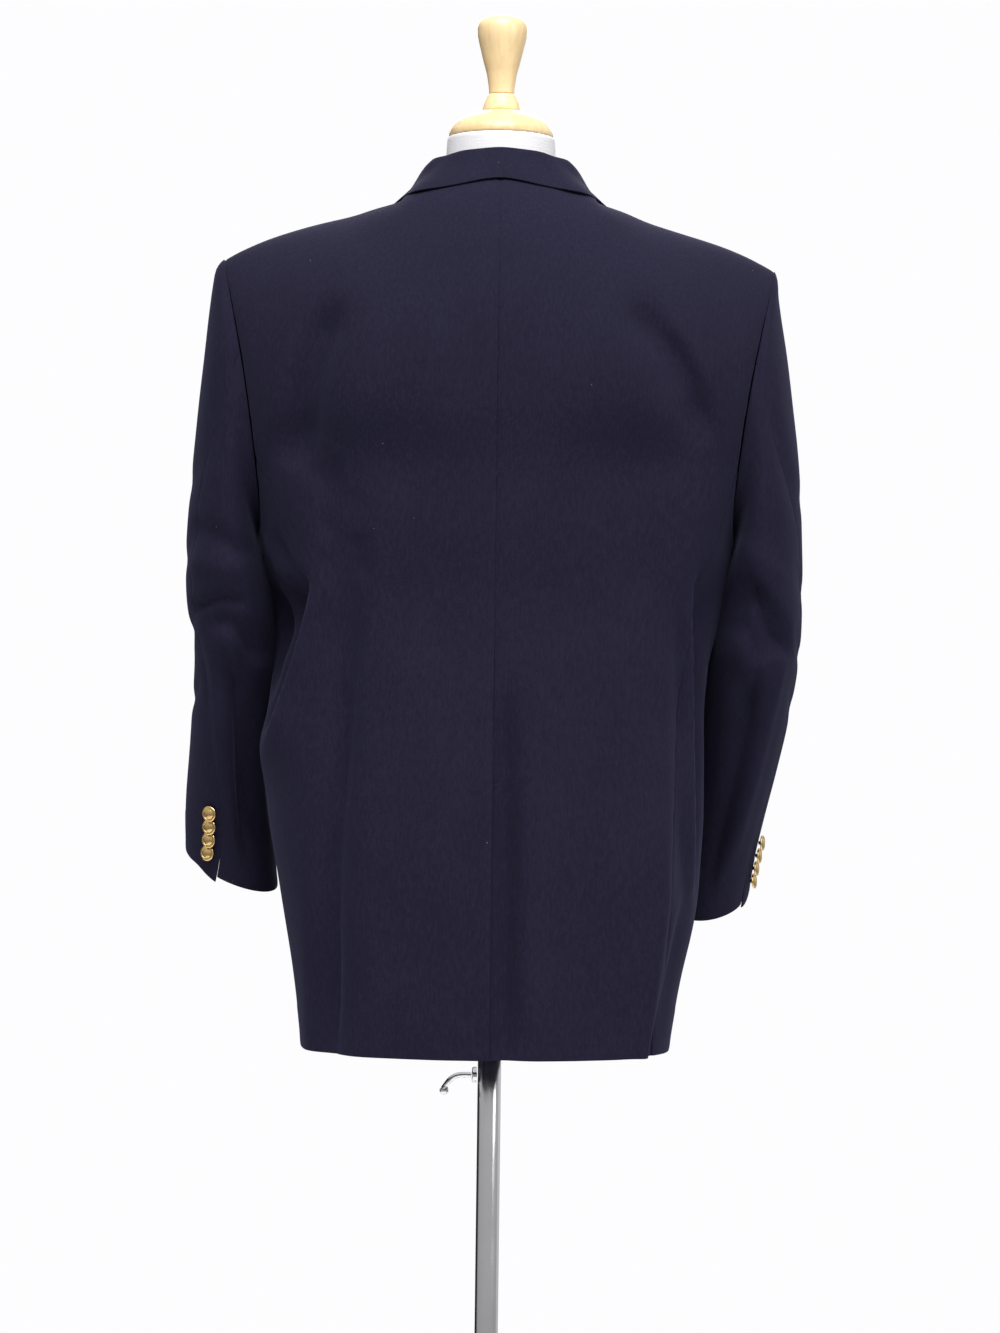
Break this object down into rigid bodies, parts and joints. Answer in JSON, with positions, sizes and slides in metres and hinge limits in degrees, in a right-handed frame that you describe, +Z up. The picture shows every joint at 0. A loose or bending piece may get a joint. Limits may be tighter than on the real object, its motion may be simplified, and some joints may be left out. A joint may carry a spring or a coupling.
{
  "type": "sport coat on a dress form",
  "caption": "Single-breasted navy wool sport coat with centre vent, flap pockets and brass buttons, resting on a limbless dress form with a turned wooden cap on a round-based pole stand.",
  "frame": {"origin": "centre of the round base's underside, on the floor under the pole's axis", "axes": "+Z up along the pole; the coat faces -Y and its left is +X"},
  "size_m": [0.5864, 0.3673, 1.712],
  "materials": {
    "coat_cloth": "matt",
    "button_metal": "polished",
    "form_cloth": "matt",
    "turned_wood": "satin",
    "stand_steel": "polished"
  },
  "bodies": {
    "stand": {"base": "stand_steel", "pole": "stand_steel", "pole_boss": "stand_steel"},
    "lever": {"lever": "stand_steel"},
    "rod": {"rod": "stand_steel"},
    "form": {"torso": "form_cloth", "neck": "form_cloth", "neck_cap": "turned_wood", "neck_bead": "turned_wood", "finial": "turned_wood", "back_left": "coat_cloth", "side_left": "coat_cloth", "front_left": "coat_cloth", "lapel_left": "coat_cloth", "top_sleeve_left": "coat_cloth", "under_sleeve_left": "coat_cloth", "flap_left": "coat_cloth", "back_right": "coat_cloth", "side_right": "coat_cloth", "front_right": "coat_cloth", "lapel_right": "coat_cloth", "top_sleeve_right": "coat_cloth", "under_sleeve_right": "coat_cloth", "flap_right": "coat_cloth", "collar": "coat_cloth", "welt": "coat_cloth", "front_button_1": "button_metal", "front_button_2": "button_metal", "cuff_button_left_1": "button_metal", "cuff_button_left_2": "button_metal", "cuff_button_left_3": "button_metal", "cuff_button_left_4": "button_metal", "cuff_button_right_1": "button_metal", "cuff_button_right_2": "button_metal", "cuff_button_right_3": "button_metal", "cuff_button_right_4": "button_metal"}
  },
  "joints": [
    {"name": "height", "type": "slide", "parent": "stand", "child": "rod", "axis": [0, 0, 1], "range_m": [-0.015, 0.25]},
    {"name": "swivel", "type": "hinge", "parent": "rod", "child": "form", "pos_m": [0, 0, 0.8], "axis": [0, 0, 1], "continuous": true},
    {"name": "clamp", "type": "hinge", "parent": "stand", "child": "lever", "pos_m": [0.017, 0, 0.715], "axis": [1, 0, 0], "range_deg": [-180, 90]}
  ]
}
